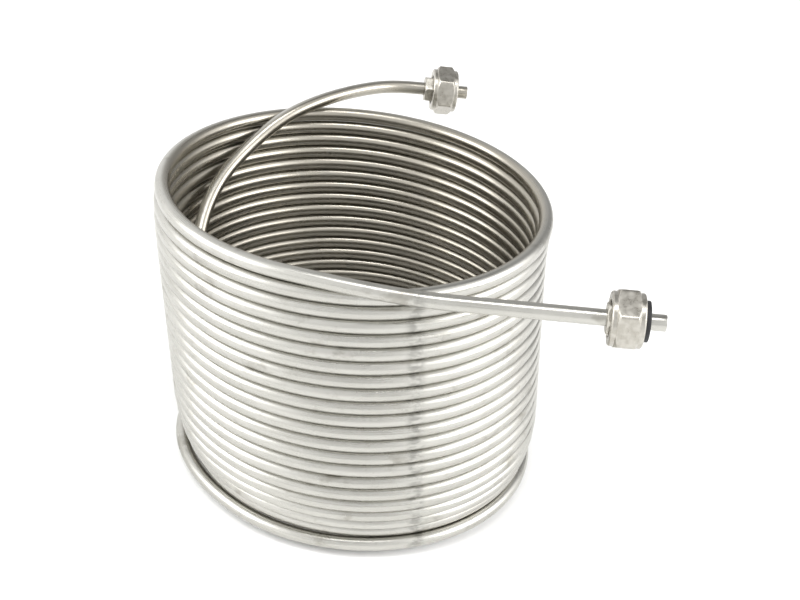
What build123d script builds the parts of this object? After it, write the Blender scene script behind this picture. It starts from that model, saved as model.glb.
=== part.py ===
from build123d import *
import math
import os

os.makedirs("parts", exist_ok=True)

# Immersion wort chiller: one close-wound stainless tube with a compression
# fitting and a loose union nut on each end.  Millimetres, +Z up.  The origin
# is on the surface that the coil stands on, under the axis of its lowest turn.

# ---- tube ----
tube_od = 9.525             # 3/8 in tube
tube_wall = 0.9
coil_radius = 125.0         # centreline of the plain turns
pitch = 9.62                # close wound: a hair over one tube diameter
plain_turns = 16.0          # turns below the outlet before the stack narrows
nested_turns = 20.4         # where the last turn rests on the inlet leg
low_tuck = 6.0              # how much narrower the stack is 4 turns further down
low_drift = 4.4             # and how far it has drifted towards +Y there
spring_open = 0.9           # extra rise of the first turn, which springs open
flare = 1.0                 # extra radius of that first turn
top_kick = 4.5              # and how far it stands to +X of the stack
stack_lean = 0.10           # sideways drift to -X for each mm of height
takeoff = 252.0             # azimuth where the outlet leg leaves the coil

# ---- legs ----
outlet_azimuth = -6.2       # heading of the straight outlet leg
outlet_rise = 2.95          # degrees that it climbs
outlet_straight = 114.0
outlet_tip = (178.5, -151.4, 6.0)   # tube end, from the axis at the rim
inlet_azimuth = 3.0
inlet_rise = -1.5
inlet_straight = 36.0
inlet_tip = (82.0, 163.5, 6.2)

# ---- fittings, measured back from the end of the tube ----
stub = 9.5                  # tube left bare past the gasket
gasket_t = 3.0
gasket_od = 23.2
flange_t = 3.0
flange_od = 23.8
body_od = 15.9              # threaded body of the tailpiece
body_end = 26.0
bore = 9.8                  # tube clearance in the loose pieces
small_af = 17.46            # compression nut across flats
small_front = 21.5
small_end = 33.0
ring_id = 20.9              # thrust ring, passes over the compression nut
ring_od = 24.0
ring_t = 1.0
union_af = 32.0             # union nut across flats
union_len = 18.8
union_hex = 12.4            # the hexagonal band between the two round rims
lip_bore = 21.5
thread_minor = 24.6
thread_major = 26.6
lip_depth = 10.7            # from the rear face to the thrust ring
outlet_back = 4.0           # the outlet union nut stands drawn back this far

od_r = tube_od / 2
id_r = tube_od / 2 - tube_wall


# ---- the close-wound turns, by number of turns down from the take-off ----
def drop(turns):
    return pitch * turns + spring_open * (1 - math.exp(-max(0.0, turns)))


foot = od_r + 0.1
rim = foot + 1.03 * tube_od + drop(nested_turns)


def turn_point(turns):
    azimuth = math.radians(takeoff - 360 * turns)
    low = (max(0.0, turns - plain_turns) / 4.0) ** 2
    high = math.exp(-max(0.0, turns) * 0.8)
    r = coil_radius - low_tuck * low + flare * high
    z = rim - drop(turns)
    x = r * math.cos(azimuth) - stack_lean * z + top_kick * high
    return Vector(x, r * math.sin(azimuth) + low_drift * low, z)


def turn_heading(turns):
    return (turn_point(turns + 0.0005) - turn_point(turns - 0.0005)).normalized()


def ring_point(azimuth, radius, z):
    a = math.radians(azimuth)
    return Vector(radius * math.cos(a) - stack_lean * z, radius * math.sin(a), z)


def direction(azimuth, rise):
    a = math.radians(azimuth)
    e = math.radians(rise)
    return Vector(math.cos(a) * math.cos(e), math.sin(a) * math.cos(e), math.sin(e))


# a pair of tangent arcs from one point and heading to the next
def arc_pair(start, heading, end, end_heading):
    v = end - start
    t = heading + end_heading
    k = 2 * (1 - heading.dot(end_heading))
    if k < 1e-9:
        d = v.dot(v) / (4 * v.dot(end_heading))
    else:
        d = (math.sqrt(v.dot(t) ** 2 + k * v.dot(v)) - v.dot(t)) / k
    middle = (start + end + (heading - end_heading) * d) * 0.5
    first = TangentArc(start, middle, tangent=heading)
    return TangentArc(middle, end, tangent=first % 1)


# ---- outlet leg: leaves the rim and runs straight out to the right ----
rim_axis = Vector(-stack_lean * rim, 0, rim)
rim_point = turn_point(0)
rim_heading = turn_heading(0) * -1
outlet_heading = direction(outlet_azimuth, outlet_rise)
outlet_end = rim_axis + Vector(*outlet_tip)
outlet_start = outlet_end - outlet_heading * outlet_straight

# ---- inlet leg: foot ring, under the last turn, up the inside, out at the top ----
inlet_heading = direction(inlet_azimuth, inlet_rise)
inlet_end = rim_axis + Vector(*inlet_tip)
inlet_start = inlet_end - inlet_heading * inlet_straight
foot_start = turn_point(nested_turns)
foot_heading = turn_heading(nested_turns)
leg_stations = [
    ring_point(83, 122.8, foot + 8.9),
    ring_point(50, 122.6, foot + 8.0),
    ring_point(15, 121.9, foot + 7.2),
    ring_point(-16, 121.1, foot + 6.5),
    ring_point(-49, 119.8, foot + 5.8),
    ring_point(-82, 118.6, foot + 5.0),
    ring_point(-114, 119.6, foot + 3.8),
    ring_point(-146, 122.0, foot + 2.2),
    ring_point(-170, 127.6, foot + 0.8),
    ring_point(-190, 131.5, foot + 0.1),
    ring_point(-214, 127.5, foot),
    ring_point(-240, 115.0, foot),
    ring_point(-268, 103.5, foot),
    ring_point(-298, 98.5, foot),
    ring_point(-332, 98.0, foot),
    ring_point(-366, 98.0, foot),
    ring_point(-400, 98.0, foot + 0.1),
    ring_point(-424, 98.0, foot + 2.5),
    ring_point(-445, 98.0, foot + 11.0),
    ring_point(-463, 98.5, foot + 26.0),
    ring_point(-481, 100.5, foot + 48.0),
    ring_point(-500, 103.0, foot + 76.0),
    ring_point(-520, 105.6, foot + 105.0),
    ring_point(-538, 107.9, foot + 130.0),
    ring_point(-555.5, 109.7, rim - 51.5),
    ring_point(-571, 110.8, rim - 32.5),
    ring_point(-587, 111.6, rim - 16.5),
    ring_point(-602, 113.4, rim - 1.5),
    ring_point(-616, 121.0, rim + 6.5),
    ring_point(-629.5, 141.0, rim + 8.5),
    ring_point(-637.5, 156.9, rim + 8.1),
]

# ---- centre lines, each a chain of tangent arcs ----
with BuildLine() as outlet_line:
    arc_pair(rim_point, rim_heading, outlet_start, outlet_heading)
    Line(outlet_start, outlet_end)

leg_points = [foot_start] + leg_stations + [inlet_start]
leg_curve = Spline(
    leg_points, tangents=[foot_heading, inlet_heading], tangent_scalars=[1.0, 1.0], mode=Mode.PRIVATE
)
leg_steps = 44
with BuildLine() as inlet_line:
    for i in range(leg_steps):
        here = i / leg_steps
        there = (i + 1) / leg_steps
        arc_pair(leg_curve @ here, leg_curve % here, leg_curve @ there, leg_curve % there)
    Line(inlet_start, inlet_end)

# ================= tube =================
# The close-wound turns are kept as bands, one above the next, that join end to
# end with each other and with the two legs.
bands = ["coil_top", "coil_upper", "coil_lower", "coil_bottom"]
band_turns = nested_turns / len(bands)
band_steps = 41
for band_number, band_name in enumerate(bands):
    first = band_number * band_turns
    step = band_turns / band_steps
    with BuildLine() as band_line:
        for i in range(band_steps):
            top = first + step * i
            low = first + step * (i + 1)
            arc_pair(turn_point(top), turn_heading(top), turn_point(low), turn_heading(low))
    with BuildPart() as band:
        with BuildSketch(Plane(origin=turn_point(first), z_dir=turn_heading(first))):
            Circle(od_r)
            Circle(id_r, mode=Mode.SUBTRACT)
        sweep(path=band_line.line)
    band.part.label = band_name
    export_step(band.part, "parts/" + band_name + ".step")

with BuildPart() as outlet_leg:
    with BuildSketch(Plane(origin=rim_point, z_dir=rim_heading)):
        Circle(od_r)
        Circle(id_r, mode=Mode.SUBTRACT)
    sweep(path=outlet_line.line)
outlet_leg.part.label = "outlet_leg"
export_step(outlet_leg.part, "parts/outlet_leg.step")

with BuildPart() as inlet_leg:
    with BuildSketch(Plane(origin=foot_start, z_dir=leg_curve % 0)):
        Circle(od_r)
        Circle(id_r, mode=Mode.SUBTRACT)
    sweep(path=inlet_line.line)
inlet_leg.part.label = "inlet_leg"
export_step(inlet_leg.part, "parts/inlet_leg.step")

# The two end planes.  Their Z runs out along the tube, and their origin is the
# end of the tube, so every fitting dimension is a height below them.  Their X
# points at the corner of the union nut that faces forward.
outlet_x = Vector(0, 0, 1).cross(outlet_heading).normalized()
outlet_plane = Plane(origin=outlet_end, x_dir=outlet_x, z_dir=outlet_heading)
inlet_x = Vector(0, 0, 1).cross(inlet_heading).normalized()
inlet_plane = Plane(origin=inlet_end, x_dir=inlet_x, z_dir=inlet_heading)

small_length = small_end - small_front
nut_shoulder = small_end - 3.0
rim_len = (union_len - union_hex) / 2

# each end: name prefix, its plane, how far its union nut is drawn back, and
# how far its two nuts are turned
ends = [
    ("outlet", outlet_plane, outlet_back, 0.0, 20.0),
    ("inlet", inlet_plane, 0.0, 18.0, 10.0),
]

for end_name, end, back, union_turn, small_turn in ends:
    # flanged tailpiece: the tube passes through it, the gasket seats on its
    # flange, and the compression nut screws onto its rear
    with BuildPart() as tailpiece:
        with BuildSketch(end.offset(-body_end)):
            Circle(body_od / 2)
        extrude(amount=body_end - stub - gasket_t)
        with BuildSketch(end.offset(-stub - gasket_t - flange_t)):
            Circle(flange_od / 2)
        extrude(amount=flange_t)
        with BuildSketch(end.offset(-body_end)):
            Circle(bore / 2)
        extrude(amount=body_end, mode=Mode.SUBTRACT)
        with BuildSketch(end.offset(-body_end)):
            Circle(6.6)
        with BuildSketch(end.offset(-body_end + 4.0)):
            Circle(bore / 2)
        loft(mode=Mode.SUBTRACT)
        for groove in range(4):
            with BuildSketch(end.offset(-body_end + 1.2 + 1.5 * groove)):
                Circle(body_od / 2)
                Circle(body_od / 2 - 0.55, mode=Mode.SUBTRACT)
            extrude(amount=0.7, mode=Mode.SUBTRACT)
    tailpiece.part.label = end_name + "_tailpiece"
    export_step(tailpiece.part, "parts/" + end_name + "_tailpiece.step")

    # small compression nut, hexagonal, with a thread and a shoulder
    with BuildPart() as small_nut:
        with BuildSketch(end.offset(-small_end)):
            RegularPolygon(small_af / 2, 6, major_radius=False, rotation=30 + small_turn)
        extrude(amount=small_length)
        with BuildSketch(end.offset(-small_end)) as small_taper:
            Circle(small_af / 2 - 0.1)
        extrude(amount=small_length, taper=-38, mode=Mode.INTERSECT)
        with BuildSketch(end.offset(-small_end)):
            Circle(bore / 2 + 0.1)
        extrude(amount=small_length, mode=Mode.SUBTRACT)
        with BuildSketch(end.offset(-nut_shoulder)):
            Circle(body_od / 2 + 0.12)
        extrude(amount=small_length, mode=Mode.SUBTRACT)
    small_nut.part.label = end_name + "_compression_nut"
    export_step(small_nut.part, "parts/" + end_name + "_compression_nut.step")

    # front ferrule: a cone that wedges between the tube and the tailpiece
    with BuildPart() as front_ferrule:
        with BuildSketch(end.offset(-27.2)):
            Circle(6.35)
        extrude(amount=0.8)
        with BuildSketch(end.offset(-26.4)):
            Circle(6.35)
        with BuildSketch(end.offset(-23.0)):
            Circle(5.15)
        loft()
        with BuildSketch(end.offset(-28.0)):
            Circle(od_r + 0.03)
        extrude(amount=8.0, mode=Mode.SUBTRACT)
    front_ferrule.part.label = end_name + "_front_ferrule"
    export_step(front_ferrule.part, "parts/" + end_name + "_front_ferrule.step")

    # rear ferrule: the ring that the nut's shoulder pushes on
    with BuildPart() as rear_ferrule:
        with BuildSketch(end.offset(-nut_shoulder + 0.05)):
            Circle(6.9)
            Circle(od_r + 0.03, mode=Mode.SUBTRACT)
        extrude(amount=2.6)
        outer = rear_ferrule.edges().filter_by(GeomType.CIRCLE).sort_by(SortBy.RADIUS)[-2:]
        chamfer(outer, length=0.5)
    rear_ferrule.part.label = end_name + "_rear_ferrule"
    export_step(rear_ferrule.part, "parts/" + end_name + "_rear_ferrule.step")

    # flat rubber gasket on the front of the flange
    with BuildPart() as gasket:
        with BuildSketch(end.offset(-stub - gasket_t)):
            Circle(gasket_od / 2)
            Circle(od_r + 0.1, mode=Mode.SUBTRACT)
        extrude(amount=gasket_t)
        rims = gasket.edges().filter_by(GeomType.CIRCLE).sort_by(SortBy.RADIUS)[-2:]
        fillet(rims, radius=0.6)
    gasket.part.label = end_name + "_gasket"
    export_step(gasket.part, "parts/" + end_name + "_gasket.step")

    # thrust ring between the union nut's lip and the flange
    seat = stub + gasket_t + flange_t + ring_t + 0.05 + back
    with BuildPart() as thrust_ring:
        with BuildSketch(end.offset(-seat)):
            Circle(ring_od / 2)
            Circle(ring_id / 2, mode=Mode.SUBTRACT)
        extrude(amount=ring_t)
    thrust_ring.part.label = end_name + "_thrust_ring"
    export_step(thrust_ring.part, "parts/" + end_name + "_thrust_ring.step")

    # union nut: a hexagonal band between two round rims, bored for the thread
    # in front and for the compression nut behind
    rear = seat + 0.05 + lip_depth
    with BuildPart() as union_nut:
        with BuildSketch(end.offset(-rear + rim_len)):
            RegularPolygon(union_af / 2, 6, major_radius=False, rotation=union_turn)
        extrude(amount=union_hex)
        with BuildSketch(end.offset(-rear + rim_len)):
            Circle(union_af / 2 + 0.4)
        extrude(amount=union_hex, taper=-50, mode=Mode.INTERSECT)
        with BuildSketch(end.offset(-rear + rim_len + union_hex)):
            Circle(union_af / 2 + 0.4)
        extrude(amount=-union_hex, taper=-50, mode=Mode.INTERSECT)
        with BuildSketch(end.offset(-rear)):
            Circle(union_af / 2 - 0.5)
        extrude(amount=union_len)
        ends_round = union_nut.edges().filter_by(GeomType.CIRCLE)
        far = [e for e in ends_round if abs(e.radius - union_af / 2 + 0.5) < 0.01]
        face_rims = [e for e in far if abs(end.to_local_coords(e.arc_center).Z + rear) < 0.01]
        front_z = rear - union_len
        face_rims += [e for e in far if abs(end.to_local_coords(e.arc_center).Z + front_z) < 0.01]
        chamfer(face_rims, length=0.8)
        with BuildSketch(end.offset(-rear)):
            Circle(lip_bore / 2)
        extrude(amount=union_len, mode=Mode.SUBTRACT)
        with BuildSketch(end.offset(-rear + lip_depth)):
            Circle(thread_minor / 2)
        extrude(amount=union_len, mode=Mode.SUBTRACT)
        for groove in range(3):
            with BuildSketch(end.offset(-rear + lip_depth + 1.4 + 1.81 * groove)):
                Circle(thread_major / 2)
            extrude(amount=1.0, mode=Mode.SUBTRACT)
    union_nut.part.label = end_name + "_union_nut"
    export_step(union_nut.part, "parts/" + end_name + "_union_nut.step")
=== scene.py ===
import math

import bpy
import numpy as np
from mathutils import Matrix, Vector


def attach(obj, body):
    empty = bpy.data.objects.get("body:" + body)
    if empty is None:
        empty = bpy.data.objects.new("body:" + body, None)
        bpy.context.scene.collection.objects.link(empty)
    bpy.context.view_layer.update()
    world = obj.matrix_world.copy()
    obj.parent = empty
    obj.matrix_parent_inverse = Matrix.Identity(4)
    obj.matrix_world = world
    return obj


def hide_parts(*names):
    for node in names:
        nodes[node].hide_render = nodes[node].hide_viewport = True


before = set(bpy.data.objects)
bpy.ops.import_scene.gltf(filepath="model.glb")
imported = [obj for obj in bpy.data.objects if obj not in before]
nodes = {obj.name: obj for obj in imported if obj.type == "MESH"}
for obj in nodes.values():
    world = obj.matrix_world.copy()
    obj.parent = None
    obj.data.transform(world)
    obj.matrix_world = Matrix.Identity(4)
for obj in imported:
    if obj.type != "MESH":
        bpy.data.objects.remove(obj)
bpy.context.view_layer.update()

# ---------------------------------------------------------------- dimensions, mm
TUBE_R = 4.7625
TUBE_BORE = 3.8625
PITCH = 9.62
TURNS = 20.4
COIL_R = 125.0
START_AZIMUTH = 252.0
LEAN = 0.10  # the stack of turns leans to -x by this much for each mm of height
PLAIN_TURNS = 16.0  # below these the turns draw in and drift to +y
LOW_TURNS = 4.0
LOW_TUCK = 6.0
LOW_DRIFT = 4.4
TOP_GAP = 0.9
TOP_SHIFT = 4.5
TOP_FADE = 0.8
FOOT = TUBE_R + 0.1
FOOT_RING = 1.03 * 2 * TUBE_R  # the last turn rides this far above the ring on the floor


def drop(turns):
    """How far the centre line has come down from the rim after so many turns."""
    return PITCH * turns + TOP_GAP * (1 - np.exp(-np.maximum(0.0, turns)))


RIM = FOOT + FOOT_RING + float(drop(TURNS))


def turn_point(turns):
    """The coil's centre line, counted in turns down from the rim."""
    azimuth = np.radians(START_AZIMUTH - 360 * turns)
    low = (np.maximum(0.0, turns - PLAIN_TURNS) / LOW_TURNS) ** 2
    high = np.exp(-np.maximum(0.0, turns) * TOP_FADE)
    r = COIL_R - LOW_TUCK * low + high
    z = RIM - drop(turns)
    x = r * np.cos(azimuth) - LEAN * z + TOP_SHIFT * high
    return np.stack([x, r * np.sin(azimuth) + LOW_DRIFT * low, z], axis=-1)


def unit(v):
    v = np.asarray(v, float)
    return v / np.linalg.norm(v, axis=-1, keepdims=True)


def turn_heading(turns):
    return unit(turn_point(turns + 0.0005) - turn_point(turns - 0.0005))


def ring_point(azimuth, radius, z):
    """A point at a radius from the leaning axis of the coil."""
    a = math.radians(azimuth)
    return [radius * math.cos(a) - LEAN * z, radius * math.sin(a), z]


def direction(azimuth, rise):
    """A unit heading from degrees round and degrees up."""
    a, e = math.radians(azimuth), math.radians(rise)
    return np.array([math.cos(a) * math.cos(e), math.sin(a) * math.cos(e), math.sin(e)])


# ---------------------------------------------------------------- centre lines
def arc(start, heading, end, steps):
    """Points and headings on the arc that leaves start along heading and ends at end."""
    chord = end - start
    normal = chord - heading * np.dot(chord, heading)
    size = np.linalg.norm(normal)
    t = np.linspace(0, 1, steps + 1)[1:]
    if size < 1e-6:
        return start + np.outer(t, chord), np.repeat([heading], steps, axis=0)
    normal = normal / size
    radius = np.dot(chord, chord) / (2 * np.dot(chord, normal))
    half = math.atan2(np.dot(chord, normal), np.dot(chord, heading))
    a = 2 * half * t
    points = start + radius * (np.outer(np.sin(a), heading) + np.outer(1 - np.cos(a), normal))
    return points, np.outer(np.cos(a), heading) + np.outer(np.sin(a), normal)


def arc_pair(start, heading, end, end_heading, steps):
    """Two arcs that meet smoothly and join one point and heading to another."""
    v = end - start
    t = heading + end_heading
    k = 2 * (1 - np.dot(heading, end_heading))
    d = (math.sqrt(np.dot(v, t) ** 2 + k * np.dot(v, v)) - np.dot(v, t)) / k
    middle = (start + end + (heading - end_heading) * d) * 0.5
    p1, h1 = arc(start, heading, middle, steps)
    p2, h2 = arc(middle, h1[-1], end, steps)
    return np.vstack([[start], p1, p2]), np.vstack([[heading], h1, h2])


def smooth_path(points, first, last, spacing):
    """A C2 cubic through the points, with unit headings at both ends."""
    p = np.array(points, float)
    n = len(p)
    h = np.linalg.norm(np.diff(p, axis=0), axis=1)
    a = np.zeros((n, n))
    b = np.zeros((n, 3))
    a[0, 0] = a[-1, -1] = 1
    b[0], b[-1] = first, last
    for i in range(1, n - 1):
        a[i, i - 1] = h[i]
        a[i, i] = 2 * (h[i - 1] + h[i])
        a[i, i + 1] = h[i - 1]
        left = h[i] * (p[i] - p[i - 1]) / h[i - 1]
        right = h[i - 1] * (p[i + 1] - p[i]) / h[i]
        b[i] = 3 * (left + right)
    m = np.linalg.solve(a, b)
    out_p, out_h = [p[0]], [unit(m[0])]
    for i in range(n - 1):
        count = max(2, int(math.ceil(h[i] / spacing)))
        for s in np.linspace(0, 1, count + 1)[1:]:
            q = (
                (2 * s**3 - 3 * s**2 + 1) * p[i]
                + (s**3 - 2 * s**2 + s) * h[i] * m[i]
                + (3 * s**2 - 2 * s**3) * p[i + 1]
                + (s**3 - s**2) * h[i] * m[i + 1]
            )
            g = (
                (6 * s**2 - 6 * s) * (p[i] - p[i + 1]) / h[i]
                + (3 * s**2 - 4 * s + 1) * m[i]
                + (3 * s**2 - 2 * s) * m[i + 1]
            )
            out_p.append(q)
            out_h.append(unit(g))
    return np.array(out_p), np.array(out_h)


def straight(start, end, steps):
    """Points from start to end, without start itself."""
    t = np.linspace(0, 1, steps + 1)[1:]
    return start + np.outer(t, end - start)


RIM_AXIS = np.array([-LEAN * RIM, 0, RIM])
OUT_STRAIGHT = 114.0
IN_STRAIGHT = 36.0
OUT_DIR = direction(-6.2, 2.95)
OUT_END = RIM_AXIS + np.array([178.5, -151.4, 6.0])
OUT_START = OUT_END - OUT_DIR * OUT_STRAIGHT
IN_DIR = direction(3.0, -1.5)
IN_END = RIM_AXIS + np.array([82.0, 163.5, 6.2])
IN_START = IN_END - IN_DIR * IN_STRAIGHT

# the inlet leg from the last turn: round the foot ring, up inside the turns, over the rim
LEG_STATIONS = [
    ring_point(83, 122.8, FOOT + 8.9),
    ring_point(50, 122.6, FOOT + 8.0),
    ring_point(15, 121.9, FOOT + 7.2),
    ring_point(-16, 121.1, FOOT + 6.5),
    ring_point(-49, 119.8, FOOT + 5.8),
    ring_point(-82, 118.6, FOOT + 5.0),
    ring_point(-114, 119.6, FOOT + 3.8),
    ring_point(-146, 122.0, FOOT + 2.2),
    ring_point(-170, 127.6, FOOT + 0.8),
    ring_point(-190, 131.5, FOOT + 0.1),
    ring_point(-214, 127.5, FOOT),
    ring_point(-240, 115.0, FOOT),
    ring_point(-268, 103.5, FOOT),
    ring_point(-298, 98.5, FOOT),
    ring_point(-332, 98.0, FOOT),
    ring_point(-366, 98.0, FOOT),
    ring_point(-400, 98.0, FOOT + 0.1),
    ring_point(-424, 98.0, FOOT + 2.5),
    ring_point(-445, 98.0, FOOT + 11.0),
    ring_point(-463, 98.5, FOOT + 26.0),
    ring_point(-481, 100.5, FOOT + 48.0),
    ring_point(-500, 103.0, FOOT + 76.0),
    ring_point(-520, 105.6, FOOT + 105.0),
    ring_point(-538, 107.9, FOOT + 130.0),
    ring_point(-555.5, 109.7, RIM - 51.5),
    ring_point(-571, 110.8, RIM - 32.5),
    ring_point(-587, 111.6, RIM - 16.5),
    ring_point(-602, 113.4, RIM - 1.5),
    ring_point(-616, 121.0, RIM + 6.5),
    ring_point(-629.5, 141.0, RIM + 8.5),
    ring_point(-637.5, 156.9, RIM + 8.1),
]

STEPS_PER_TURN = 118
LEG_STEPS = 24
LEG_SPACING = 5.5
turns = np.linspace(0, TURNS, int(TURNS * STEPS_PER_TURN) + 1)
coil_path = turn_point(turns)
coil_heads = turn_heading(turns)

bend, heads = arc_pair(coil_path[0], -coil_heads[0], OUT_START, OUT_DIR, LEG_STEPS)
line = straight(OUT_START, OUT_END, LEG_STEPS)
outlet_path = np.vstack([bend, line])
outlet_heads = np.vstack([heads, np.repeat([OUT_DIR], len(line), axis=0)])

bend, heads = smooth_path(
    [coil_path[-1]] + LEG_STATIONS + [IN_START], coil_heads[-1], IN_DIR, LEG_SPACING
)
line = straight(IN_START, IN_END, 10)
inlet_path = np.vstack([bend, line])
inlet_heads = np.vstack([heads, np.repeat([IN_DIR], len(line), axis=0)])

# the whole tube, from the outlet tip down the turns and back up to the inlet tip
tube_path = np.vstack([outlet_path[::-1], coil_path[1:], inlet_path[1:]])
tube_heads = np.vstack([-outlet_heads[::-1], coil_heads[1:], inlet_heads[1:]])


# ---------------------------------------------------------------- mesh helpers
def mesh_object(name, verts, faces):
    """A smooth-shaded object from vertices in millimetres."""
    mesh = bpy.data.meshes.new(name)
    mesh.from_pydata((np.asarray(verts) / 1000).tolist(), [], faces)
    mesh.validate()
    mesh.polygons.foreach_set("use_smooth", [True] * len(mesh.polygons))
    obj = bpy.data.objects.new(name, mesh)
    bpy.context.scene.collection.objects.link(obj)
    return obj


def vector_attribute(obj, name, values):
    layer = obj.data.attributes.new(name, "FLOAT_VECTOR", "POINT")
    layer.data.foreach_set("vector", np.asarray(values, np.float32).ravel())


def grid_faces(rings, around, closed_loop=False):
    """Four-sided faces between neighbouring rings of vertices."""
    faces = []
    last = rings if closed_loop else rings - 1
    for i in range(last):
        a = i * around
        b = ((i + 1) % rings) * around
        for j in range(around):
            k = (j + 1) % around
            faces.append((a + j, a + k, b + k, b + j))
    return faces


def tube(name, path, heads):
    """A round tube along path, bored and rounded over at both ends."""
    around = 32
    up = np.array([0.0, 0.0, 1.0])
    n1 = unit(up - heads * (heads @ up)[:, None])
    n2 = np.cross(heads, n1)
    length = np.concatenate([[0], np.cumsum(np.linalg.norm(np.diff(path, axis=0), axis=1))])
    angle = np.arange(around) * 2 * math.pi / around
    circle_c, circle_s = np.cos(angle), np.sin(angle)
    # (distance back from the tip, radius), from deep in the bore to the outside
    lip = (
        (40.0, TUBE_BORE),
        (20.0, TUBE_BORE),
        (0.35, TUBE_BORE),
        (0.12, TUBE_BORE + 0.05),
        (0.0, TUBE_BORE + 0.2),
        (0.0, TUBE_R - 0.36),
        (0.04, TUBE_R - 0.17),
        (0.16, TUBE_R - 0.05),
        (0.35, TUBE_R),
    )
    last = len(path) - 1
    rings = [(path[0] + heads[0] * back, radius, 0, back) for back, radius in lip]
    rings += [(path[k], TUBE_R, k, length[k]) for k in range(1, last)]
    rings += [
        (path[-1] - heads[-1] * back, radius, last, length[-1] - back)
        for back, radius in reversed(lip)
    ]
    verts, run = [], []
    for centre, radius, k, s in rings:
        verts.append(centre + radius * (np.outer(circle_c, n1[k]) + np.outer(circle_s, n2[k])))
        run.append(np.stack([np.full(around, s), circle_c * radius, circle_s * radius], axis=-1) / 1000)
    faces = [tuple(reversed(f)) for f in grid_faces(len(rings), around)]
    end = (len(rings) - 1) * around
    faces.append(tuple(range(around)))
    faces.append(tuple(range(end + around - 1, end - 1, -1)))
    obj = mesh_object(name, np.vstack(verts), faces)
    vector_attribute(obj, "run", np.vstack(run))
    return obj


# ---------------------------------------------------------------- turned and hexagonal pieces
# heights in mm run along the straight end of the tube; the tip stands at 0, the coil below it
AROUND = 144
GASKET_FACE = 9.5
GASKET_THICK = 3.0
FLANGE_THICK = 3.0
RING_THICK = 1.0
PLAY = 0.05
NUT_SEAT = 10.7


def soft_min(a, b, k):
    """The smaller of two values, blended over a width of k."""
    h = np.clip(0.5 + 0.5 * (b - a) / k, 0, 1)
    return b * (1 - h) + a * h - k * h * (1 - h)


def end_frame(origin, heading):
    """Origin and axes at a tube end, z along the heading and x level."""
    x = unit(np.cross([0, 0, 1.0], heading))
    return origin, x, np.cross(heading, x), heading


OUT_FRAME = end_frame(OUT_END, OUT_DIR)
IN_FRAME = end_frame(IN_END, IN_DIR)
THETA = np.arange(AROUND) * 2 * math.pi / AROUND


def hexagon(flats, corner_angle, roundness=0.35):
    """Radius of a hexagon with softened corners, at each angle."""
    away = np.radians((np.degrees(THETA) - corner_angle) % 60 - 30)
    corner = flats / 2 / math.cos(math.radians(30))
    return soft_min(flats / 2 / np.cos(away), np.full(AROUND, corner - roundness * 0.35), roundness)


def closed_ring(name, end, rings):
    """A solid ring from (height, radii) pairs that run once round its section."""
    origin, x, y, z = end
    verts, turn = [], []
    c, s = np.cos(THETA), np.sin(THETA)
    for height, radius in rings:
        r = np.broadcast_to(np.asarray(radius, float), (AROUND,))
        h = np.broadcast_to(np.asarray(height, float), (AROUND,))
        verts.append(origin + np.outer(r * c, x) + np.outer(r * s, y) + np.outer(h, z))
        turn.append(np.stack([r * c, r * s, h], axis=-1) / 1000)
    faces = grid_faces(len(rings), AROUND, closed_loop=True)
    obj = mesh_object(name, np.vstack(verts), faces)
    vector_attribute(obj, "run", np.vstack(turn))
    weighted = obj.modifiers.new("normals", "WEIGHTED_NORMAL")
    weighted.keep_sharp = True
    return obj


def rounded(points, bevel):
    """Section corners (height, radius) with each corner eased by bevel."""
    out = []
    n = len(points)
    for i in range(n):
        p0, p1, p2 = (np.array(points[(i + k - 1) % n], float) for k in range(3))
        a, b = p0 - p1, p2 - p1
        la, lb = np.linalg.norm(a), np.linalg.norm(b)
        cut = min(bevel, la * 0.4, lb * 0.4)
        s, e = p1 + a / la * cut, p1 + b / lb * cut
        for t in (0.0, 0.3, 0.7, 1.0):
            q = (1 - t) ** 2 * s + 2 * t * (1 - t) * p1 + t**2 * e
            out.append((q[0], q[1]))
        span = np.linalg.norm(b) - 2 * cut
        for k in range(1, 3):
            if span > 1.2:
                q = e + (p2 - b / lb * cut - e) * k / 3
                out.append((q[0], q[1]))
    return out


def thread(low, high, crest, depth, pitch, outward):
    """Rings of a helical thread between two heights, running out at both ends."""
    rings = []
    count = int(round((high - low) / pitch * 10))
    for i in range(count + 1):
        h = low + (high - low) * i / count
        phase = ((h - low) / pitch - THETA / (2 * math.pi)) % 1.0
        cut = np.clip(1.35 - np.abs(phase - 0.5) * 3.1, 0, 1)
        fade = min(1.0, i / 5, (count - i) / 5)
        rings.append((h, crest - outward * depth * cut * fade))
    return rings


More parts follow.
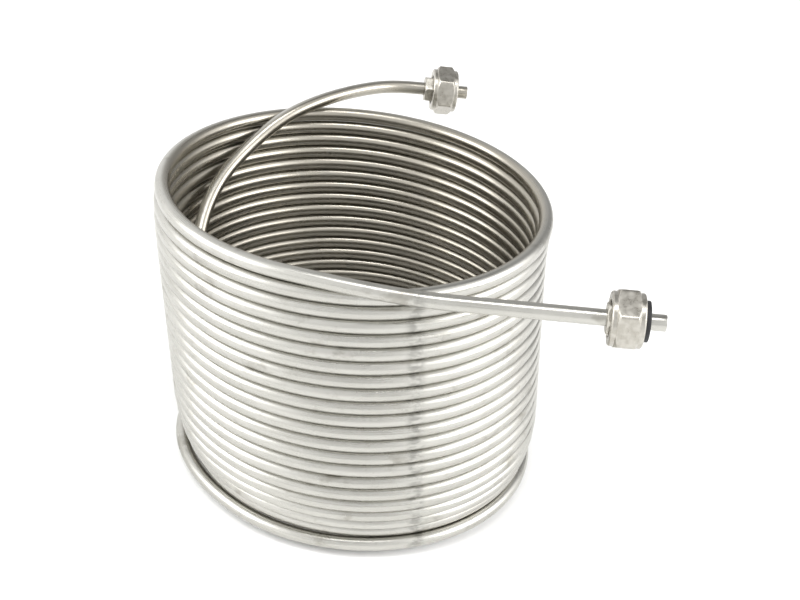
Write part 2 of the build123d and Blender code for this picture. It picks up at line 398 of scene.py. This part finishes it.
def union_nut(name, end, back, corner):
    """The big loose nut: a hexagon between two round rims, threaded inside."""
    flats, length, band = 32.0, 18.8, 12.4
    rear = -(GASKET_FACE + GASKET_THICK + FLANGE_THICK + RING_THICK + PLAY + back + PLAY + NUT_SEAT)
    rim = (length - band) / 2
    rim_r = flats / 2 - 0.5
    shape = hexagon(flats, corner)
    rings = [(rear, 11.4), (rear, 13.2), (rear, rim_r - 0.95), (rear + 0.03, rim_r - 0.8)]
    rings += [(rear + 0.25, rim_r - 0.5), (rear + 0.55, rim_r - 0.2), (rear + 0.78, rim_r - 0.05)]
    rings += [(rear + 1.0, rim_r), (rear + 2.0, rim_r)]
    rings += [(rear + rim - 0.3, rim_r), (rear + rim - 0.1, rim_r + 0.02)]
    shoulder = np.linspace(0, 2.4, 17)
    flat = np.linspace(3.2, band - 3.2, 6)
    for h in np.concatenate([shoulder, flat, band - shoulder[::-1]]):
        cone = flats / 2 + 0.4 + 1.192 * min(h, band - h)
        r = soft_min(shape, np.full(AROUND, cone), 0.28)
        ease = min(1.0, min(h, band - h) / 0.15)
        rings.append((rear + rim + h, rim_r + 0.05 + (r - rim_r - 0.05) * (0.75 + 0.25 * ease)))
    front = rear + length
    rings += [(front - rim + 0.1, rim_r + 0.02), (front - rim + 0.3, rim_r)]
    rings += [(front - 2.0, rim_r), (front - 1.0, rim_r), (front - 0.78, rim_r - 0.05)]
    rings += [(front - 0.55, rim_r - 0.2), (front - 0.25, rim_r - 0.5), (front - 0.03, rim_r - 0.8)]
    rings += [(front, rim_r - 0.95), (front, 13.6), (front - 0.08, 13.35), (front - 0.5, 13.0)]
    bore = thread(rear + NUT_SEAT + 0.25, front - 0.9, 12.32, 0.95, 1.81, -1)
    rings += list(reversed(bore))
    rings += [(rear + NUT_SEAT + 0.05, 12.2), (rear + NUT_SEAT, 12.0), (rear + NUT_SEAT, 11.1)]
    rings += [(rear + NUT_SEAT - 0.1, 10.85), (rear + NUT_SEAT - 0.4, 10.75), (rear + 5.0, 10.75)]
    rings += [(rear + 0.6, 10.75), (rear + 0.25, 10.85), (rear + 0.03, 11.1)]
    return closed_ring(name, end, rings)


def compression_nut(name, end, corner):
    """The small nut behind the tailpiece, rounded off at the back and hollow for the ferrules."""
    rear, front, floor_of_bore = -33.0, -21.5, -30.0
    flats = 17.46
    shape = hexagon(flats, corner, 0.25)
    rings = [(rear, 5.4), (rear, 7.0), (rear, 8.1), (rear + 0.03, 8.35)]
    for h in np.concatenate([np.linspace(0.15, 2.6, 16), [4.0, 6.5, 9.0, 10.6, 11.1]]):
        cone = flats / 2 - 0.1 + 0.781 * h
        rings.append((rear + h, soft_min(shape, np.full(AROUND, cone), 0.2)))
    rings += [(front - 0.15, shape - 0.08), (front - 0.03, shape - 0.22)]
    rings += [(front, shape - 0.4), (front, 8.45)]
    rings += [(front - 0.1, 8.2), (front - 0.4, 8.09), (front - 4.0, 8.08)]
    rings += [(floor_of_bore - 0.1, 8.07), (floor_of_bore, 7.9), (floor_of_bore, 6.0)]
    rings += [(floor_of_bore, 5.3), (floor_of_bore - 0.1, 5.05), (floor_of_bore - 0.4, 5.0)]
    rings += [(rear + 0.5, 5.0), (rear + 0.12, 5.08), (rear + 0.02, 5.2)]
    return closed_ring(name, end, rings)


def tailpiece(name, end):
    """The piece inside the nuts: threaded at the back, with a flange that carries the gasket."""
    rear = -26.0
    flange = -GASKET_FACE - GASKET_THICK
    under = flange - FLANGE_THICK
    rings = [(rear, 6.7), (rear, 7.0), (rear + 0.15, 7.4)]
    rings += thread(rear + 0.5, rear + 7.0, 7.93, 0.6, 1.27, 1)
    rings += [(rear + 7.4, 7.94), (under - 0.25, 7.95), (under - 0.05, 8.05), (under, 8.25)]
    rings += [(under, 10.0), (under, 11.5), (under + 0.08, 11.75), (under + 0.3, 11.88)]
    rings += [(under + 0.7, 11.9), (flange - 0.6, 11.9), (flange - 0.25, 11.86)]
    rings += [(flange - 0.06, 11.7), (flange, 11.45), (flange, 9.0), (flange, 5.3)]
    rings += [(flange - 0.1, 5.0), (flange - 0.4, 4.9)]
    rings += [(rear + 8.0, 4.9), (rear + 4.0, 4.9), (rear + 0.1, 6.55)]
    return closed_ring(name, end, rings)


def gasket(name, end):
    """The flat rubber washer in front of the flange."""
    low, high = -GASKET_FACE - GASKET_THICK, -GASKET_FACE
    points = [(low, 4.87), (low, 11.6), (high, 11.6), (high, 4.87)]
    return closed_ring(name, end, rounded(points, 0.6))


def thrust_ring(name, end, back):
    """The thin ring that slides with the union nut and lets it spin."""
    low = -(GASKET_FACE + GASKET_THICK + FLANGE_THICK + RING_THICK + PLAY + back)
    high = low + RING_THICK
    points = [(low, 10.45), (low, 12.0), (high, 12.0), (high, 10.45)]
    return closed_ring(name, end, rounded(points, 0.15))


# ---------------------------------------------------------------- materials
class Nodes:
    """A small helper that adds shader nodes and links them."""

    def __init__(self, name):
        self.mat = bpy.data.materials.new(name)
        self.mat.use_nodes = True
        self.tree = self.mat.node_tree
        self.tree.nodes.clear()
        self.out = self.tree.nodes.new("ShaderNodeOutputMaterial")
        self.bsdf = self.tree.nodes.new("ShaderNodeBsdfPrincipled")
        self.link(self.bsdf.outputs[0], self.out.inputs["Surface"])

    def link(self, a, b):
        self.tree.links.new(a, b)

    def run(self):
        node = self.tree.nodes.new("ShaderNodeAttribute")
        node.attribute_name = "run"
        return node.outputs["Vector"]

    def position(self):
        node = self.tree.nodes.new("ShaderNodeTexCoord")
        return node.outputs["Object"]

    def scaled(self, vector, scale):
        node = self.tree.nodes.new("ShaderNodeVectorMath")
        node.operation = "MULTIPLY"
        node.inputs[1].default_value = scale
        self.link(vector, node.inputs[0])
        return node.outputs[0]

    def noise(self, vector, scale=1.0, detail=2.0, rough=0.5, distortion=0.0):
        node = self.tree.nodes.new("ShaderNodeTexNoise")
        node.inputs["Scale"].default_value = scale
        node.inputs["Detail"].default_value = detail
        node.inputs["Roughness"].default_value = rough
        node.inputs["Distortion"].default_value = distortion
        self.link(vector, node.inputs["Vector"])
        return node.outputs["Fac"]

    def spread(self, value, low, high, to_low=0.0, to_high=1.0):
        node = self.tree.nodes.new("ShaderNodeMapRange")
        node.interpolation_type = "SMOOTHSTEP"
        node.inputs["From Min"].default_value = low
        node.inputs["From Max"].default_value = high
        node.inputs["To Min"].default_value = to_low
        node.inputs["To Max"].default_value = to_high
        self.link(value, node.inputs["Value"])
        return node.outputs[0]

    def math(self, kind, a, b):
        node = self.tree.nodes.new("ShaderNodeMath")
        node.operation = kind
        for i, v in enumerate((a, b)):
            if isinstance(v, (int, float)):
                node.inputs[i].default_value = v
            else:
                self.link(v, node.inputs[i])
        return node.outputs[0]

    def mix(self, fac, a, b):
        node = self.tree.nodes.new("ShaderNodeMix")
        node.data_type = "RGBA"
        self.link(fac, node.inputs["Factor"])
        for i, v in ((6, a), (7, b)):
            if isinstance(v, tuple):
                node.inputs[i].default_value = (*v, 1.0)
            else:
                self.link(v, node.inputs[i])
        return node.outputs[2]

    def bump(self, height, strength, distance, after=None):
        node = self.tree.nodes.new("ShaderNodeBump")
        node.inputs["Strength"].default_value = strength
        node.inputs["Distance"].default_value = distance
        self.link(height, node.inputs["Height"])
        if after is not None:
            self.link(after, node.inputs["Normal"])
        return node.outputs[0]


STRAP_X = 0.0412  # metres, where the line of scuffs would cross the floor
METAL_BUMP = 0.00003


def strap_mark(n):
    """Scuffs in a line down the front, where a strap held the turns: 0 or 1 with soft edges."""
    at = n.tree.nodes.new("ShaderNodeSeparateXYZ")
    n.link(n.position(), at.inputs[0])
    line = n.math("ADD", n.math("MULTIPLY", at.outputs[2], LEAN), at.outputs[0])
    line = n.math("ABSOLUTE", n.math("SUBTRACT", line, STRAP_X), 0.0)
    near = n.spread(line, 0.0015, 0.0075, 1.0, 0.0)
    front = n.spread(at.outputs[1], -0.06, -0.09)
    patches = n.noise(n.scaled(n.position(), (150.0, 150.0, 330.0)), detail=3.0)
    patchy = n.spread(patches, 0.40, 0.62)
    return n.math("MULTIPLY", n.math("MULTIPLY", near, front), patchy)


def tube_steel():
    """Polished stainless tube: drawing lines, cloudy handling marks, pits, and painted shade, dark warm
    brown, on the side of each turn that faces the inside of the coil.
    """
    n = Nodes("polished_stainless")
    run = n.run()
    lines = n.noise(n.scaled(run, (14.0, 2600.0, 2600.0)), detail=3.0, rough=0.6)
    bands = n.noise(n.scaled(run, (5.0, 420.0, 420.0)), detail=2.0)
    clouds = n.noise(n.scaled(run, (22.0, 90.0, 90.0)), detail=4.0, rough=0.6, distortion=0.4)
    blotches = n.noise(n.scaled(n.position(), (34.0, 34.0, 52.0)), detail=5.0, rough=0.62)
    smudge = n.spread(blotches, 0.56, 0.70)
    specks = n.noise(n.scaled(run, (420.0, 520.0, 520.0)), detail=1.0)
    spots = n.spread(specks, 0.72, 0.80)
    seam = strap_mark(n)
    axes = n.tree.nodes.new("ShaderNodeSeparateXYZ")
    n.link(run, axes.inputs[0])
    # painted shade: the half of each turn that faces the inside of the coil is mixed towards a dark warm
    # brown, standing in for the dim light inside the coil
    painted_inner_shade = n.spread(axes.outputs[2], -0.0012, 0.0030)
    base = n.mix(n.spread(clouds, 0.3, 0.7), (0.465, 0.457, 0.422), (0.525, 0.517, 0.482))
    base = n.mix(n.math("MULTIPLY", painted_inner_shade, 0.85), base, (0.345, 0.32, 0.27))
    base = n.mix(n.math("MULTIPLY", smudge, 0.75), base, (0.31, 0.297, 0.262))
    base = n.mix(n.math("MULTIPLY", seam, 0.75), base, (0.27, 0.265, 0.245))
    base = n.mix(n.math("MULTIPLY", spots, 0.35), base, (0.32, 0.30, 0.27))
    n.link(base, n.bsdf.inputs["Base Color"])
    n.bsdf.inputs["Metallic"].default_value = 1.0
    rough = n.spread(clouds, 0.3, 0.75, 0.23, 0.31)
    rough = n.math("ADD", rough, n.spread(lines, 0.35, 0.75, 0.0, 0.06))
    rough = n.math("ADD", rough, n.math("MULTIPLY", smudge, 0.07))
    n.link(rough, n.bsdf.inputs["Roughness"])
    wave = n.noise(n.scaled(run, (70.0, 60.0, 60.0)), detail=1.0)
    normal = n.bump(wave, 0.25, 0.00022)
    normal = n.bump(bands, 0.12, 0.00006, normal)
    normal = n.bump(lines, 0.10, 0.00002, normal)
    n.link(normal, n.bsdf.inputs["Normal"])
    return n.mat


def nickel():
    """Satin nickel plate over a turned fitting: tool lines, slight mottling, warm tint."""
    n = Nodes("satin_nickel")
    run = n.run()
    split = n.tree.nodes.new("ShaderNodeSeparateXYZ")
    n.link(run, split.inputs[0])
    x2 = n.math("MULTIPLY", split.outputs[0], split.outputs[0])
    y2 = n.math("MULTIPLY", split.outputs[1], split.outputs[1])
    radius = n.math("SQRT", n.math("ADD", x2, y2), 0.0)
    ring = n.tree.nodes.new("ShaderNodeCombineXYZ")
    n.link(radius, ring.inputs[0])
    n.link(split.outputs[2], ring.inputs[1])
    turning = n.noise(n.scaled(ring.outputs[0], (5200.0, 5200.0, 0.0)), detail=2.0, rough=0.6)
    mottle = n.noise(run, scale=240.0, detail=4.0, rough=0.6)
    fine = n.noise(run, scale=2600.0, detail=2.0)
    base = n.mix(n.spread(mottle, 0.35, 0.68), (0.41, 0.39, 0.345), (0.52, 0.50, 0.455))
    base = n.mix(n.spread(fine, 0.62, 0.78, 0.0, 0.22), base, (0.30, 0.275, 0.235))
    n.link(base, n.bsdf.inputs["Base Color"])
    n.bsdf.inputs["Metallic"].default_value = 1.0
    rough = n.spread(mottle, 0.3, 0.7, 0.24, 0.34)
    rough = n.math("ADD", rough, n.spread(turning, 0.3, 0.8, 0.0, 0.08))
    n.link(rough, n.bsdf.inputs["Roughness"])
    normal = n.bump(turning, 0.22, METAL_BUMP)
    normal = n.bump(fine, 0.18, METAL_BUMP, normal)
    n.link(normal, n.bsdf.inputs["Normal"])
    return n.mat


def machined():
    """Bare machined stainless for the ferrules."""
    n = Nodes("machined_stainless")
    mottle = n.noise(n.position(), scale=320.0, detail=3.0)
    fine = n.noise(n.position(), scale=2400.0, detail=2.0)
    base = n.mix(n.spread(mottle, 0.3, 0.7), (0.60, 0.58, 0.54), (0.72, 0.70, 0.66))
    n.link(base, n.bsdf.inputs["Base Color"])
    n.bsdf.inputs["Metallic"].default_value = 1.0
    n.link(n.spread(mottle, 0.3, 0.7, 0.22, 0.34), n.bsdf.inputs["Roughness"])
    n.link(n.bump(fine, 0.2, METAL_BUMP), n.bsdf.inputs["Normal"])
    return n.mat


def black_rubber():
    """Moulded black rubber: matt, faintly dusty, with a fine grain."""
    n = Nodes("black_rubber")
    dust = n.noise(n.run(), scale=380.0, detail=4.0, rough=0.6)
    grain = n.noise(n.run(), scale=3200.0, detail=2.0)
    base = n.mix(n.spread(dust, 0.45, 0.75), (0.012, 0.012, 0.013), (0.034, 0.034, 0.035))
    n.link(base, n.bsdf.inputs["Base Color"])
    n.link(n.spread(dust, 0.3, 0.7, 0.48, 0.68), n.bsdf.inputs["Roughness"])
    n.link(n.bump(grain, 0.35, 0.00005), n.bsdf.inputs["Normal"])
    return n.mat


STEEL, NICKEL, MACHINED, RUBBER = tube_steel(), nickel(), machined(), black_rubber()


def place(obj, material, slot, body, *stands_for):
    """Give a piece its material, body and the CAD nodes it stands for; slot is not used."""
    obj.data.materials.clear()
    obj.data.materials.append(material)
    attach(obj, body)
    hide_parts(*stands_for)
    return obj


# ---------------------------------------------------------------- the object
place(
    tube("chiller_tube", tube_path, tube_heads),
    STEEL,
    "tube",
    "coil",
    "outlet_leg",
    "coil_top",
    "coil_upper",
    "coil_lower",
    "coil_bottom",
    "inlet_leg",
)

# back: how far the union nut has slid towards the coil; the angles are where a corner of each nut points
for side, end, back, corner, small_corner in (
    ("outlet", OUT_FRAME, 4.0, 26.0, 50.0),
    ("inlet", IN_FRAME, 0.0, 18.0, 40.0),
):
    big_nut = union_nut(side + "_union", end, back, corner)
    place(big_nut, NICKEL, "fitting", side + "_nut", side + "_union_nut")
    small_nut = compression_nut(side + "_small_nut", end, small_corner)
    place(small_nut, NICKEL, "fitting", "coil", side + "_compression_nut")
    place(tailpiece(side + "_tail", end), NICKEL, "fitting", "coil", side + "_tailpiece")
    place(gasket(side + "_washer", end), RUBBER, "rubber", "coil", side + "_gasket")
    slip_ring = thrust_ring(side + "_ring", end, back)
    place(slip_ring, NICKEL, "ferrule", side + "_ring", side + "_thrust_ring")
    for node in (side + "_front_ferrule", side + "_rear_ferrule"):
        nodes[node].data.materials.clear()
        nodes[node].data.materials.append(MACHINED)


# ---------------------------------------------------------------- floor, light, camera
FLOOR_HALF = 7.0
CAMERA_AT = (-0.0212, -0.7104, 0.5585)
CAMERA_TURN, CAMERA_TILT, CAMERA_ROLL = 3.203, 31.26, 6.412
FOCAL_PIXELS, PHOTO_WIDTH, SENSOR_MM = 1204.5, 800, 36.0


def floor():
    """A wide pale floor under the part."""
    mesh = bpy.data.meshes.new("floor")
    s = FLOOR_HALF
    mesh.from_pydata([(-s, -s, 0), (s, -s, 0), (s, s, 0), (-s, s, 0)], [], [(0, 1, 2, 3)])
    obj = bpy.data.objects.new("floor", mesh)
    bpy.context.scene.collection.objects.link(obj)
    n = Nodes("pale_floor")
    soft = n.noise(n.position(), scale=3.0, detail=3.0)
    base = n.mix(n.spread(soft, 0.3, 0.7), (0.90, 0.90, 0.895), (0.93, 0.93, 0.925))
    n.link(base, n.bsdf.inputs["Base Color"])
    n.bsdf.inputs["Roughness"].default_value = 0.85
    n.bsdf.inputs["Specular IOR Level"].default_value = 0.2
    mesh.materials.append(n.mat)


def sky():
    """A studio all round: bright at the left and right, softer behind the camera, dark at the back."""
    world = bpy.data.worlds.new("studio")
    bpy.context.scene.world = world
    world.use_nodes = True
    tree = world.node_tree
    tree.nodes.clear()
    out = tree.nodes.new("ShaderNodeOutputWorld")
    back = tree.nodes.new("ShaderNodeBackground")
    coord = tree.nodes.new("ShaderNodeTexCoord")
    split = tree.nodes.new("ShaderNodeSeparateXYZ")
    turn = tree.nodes.new("ShaderNodeMath")
    turn.operation = "ARCTAN2"
    scale = tree.nodes.new("ShaderNodeMapRange")
    scale.inputs["From Min"].default_value = -math.pi
    scale.inputs["From Max"].default_value = math.pi
    around = tree.nodes.new("ShaderNodeValToRGB")
    height = tree.nodes.new("ShaderNodeValToRGB")
    both = tree.nodes.new("ShaderNodeMix")
    both.data_type = "RGBA"
    both.blend_type = "MULTIPLY"
    both.inputs["Factor"].default_value = 1.0
    link = tree.links.new
    link(coord.outputs["Generated"], split.inputs[0])
    link(split.outputs[1], turn.inputs[0])
    link(split.outputs[0], turn.inputs[1])
    link(turn.outputs[0], scale.inputs["Value"])
    link(scale.outputs[0], around.inputs[0])
    link(split.outputs[2], height.inputs[0])
    link(around.outputs[0], both.inputs[6])
    link(height.outputs[0], both.inputs[7])
    link(both.outputs[2], back.inputs["Color"])
    link(back.outputs[0], out.inputs["Surface"])

    def stops(ramp, values):
        elements = ramp.color_ramp.elements
        while len(elements) > 1:
            elements.remove(elements[-1])
        elements[0].position, v = values[0]
        elements[0].color = (v, v, v, 1)
        for position, v in values[1:]:
            e = elements.new(position)
            e.color = (v, v, v, 1)
        ramp.color_ramp.interpolation = "EASE"

    # once round: left, behind the camera at 0.25, right at 0.5, the back at 0.75, left again
    left_to_right = [(0.0, 1.0), (0.13, 1.0), (0.18, 0.78), (0.26, 0.66), (0.345, 0.74), (0.375, 1.0)]
    right_to_left = [(0.56, 1.0), (0.60, 0.32), (0.67, 0.26), (0.73, 0.42), (0.82, 0.75), (1.0, 1.0)]
    stops(around, left_to_right + right_to_left)
    # from the horizon up to straight overhead
    stops(height, [(0.0, 0.95), (0.45, 1.0), (0.75, 0.85), (0.90, 0.62), (1.0, 0.50)])
    back.inputs["Strength"].default_value = 1.6


def softbox(name, at, target, width, height, watts):
    """A rectangular lamp that faces its target."""
    light = bpy.data.lights.new(name, "AREA")
    light.shape = "RECTANGLE"
    light.size, light.size_y = width, height
    light.energy = watts
    obj = bpy.data.objects.new(name, light)
    obj.location = at
    aim = Vector(target) - Vector(at)
    obj.rotation_euler = aim.to_track_quat("-Z", "Y").to_euler()
    bpy.context.scene.collection.objects.link(obj)


def camera():
    """The photo's camera, as it was solved from the photo."""
    turn, tilt, roll = (math.radians(a) for a in (CAMERA_TURN, CAMERA_TILT, CAMERA_ROLL))
    level = math.cos(tilt)
    ahead = Vector((math.sin(turn) * level, math.cos(turn) * level, -math.sin(tilt)))
    right = Vector((math.cos(turn), -math.sin(turn), 0))
    up = right.cross(ahead)
    right2 = right * math.cos(roll) + up * math.sin(roll)
    up2 = up * math.cos(roll) - right * math.sin(roll)
    data = bpy.data.cameras.new("camera")
    data.sensor_width = SENSOR_MM
    data.lens = SENSOR_MM * FOCAL_PIXELS / PHOTO_WIDTH
    data.clip_end = 50
    obj = bpy.data.objects.new("camera", data)
    axes = Matrix((right2, up2, -ahead)).transposed().to_4x4()
    obj.matrix_world = Matrix.Translation(CAMERA_AT) @ axes
    bpy.context.scene.collection.objects.link(obj)
    bpy.context.scene.camera = obj


floor()
sky()
camera()
softbox("left_screen", (-1.9, -0.4, 1.1), (0, 0, 0), 1.6, 1.2, 22)
softbox("right_screen", (1.9, -0.5, 1.1), (0, 0, 0), 1.6, 1.2, 26)
softbox("top_screen", (0.0, -0.55, 1.9), (0, 0, 0.1), 0.9, 0.35, 9)
bpy.context.scene.view_settings.view_transform = "Standard"
bpy.context.scene.view_settings.look = "None"
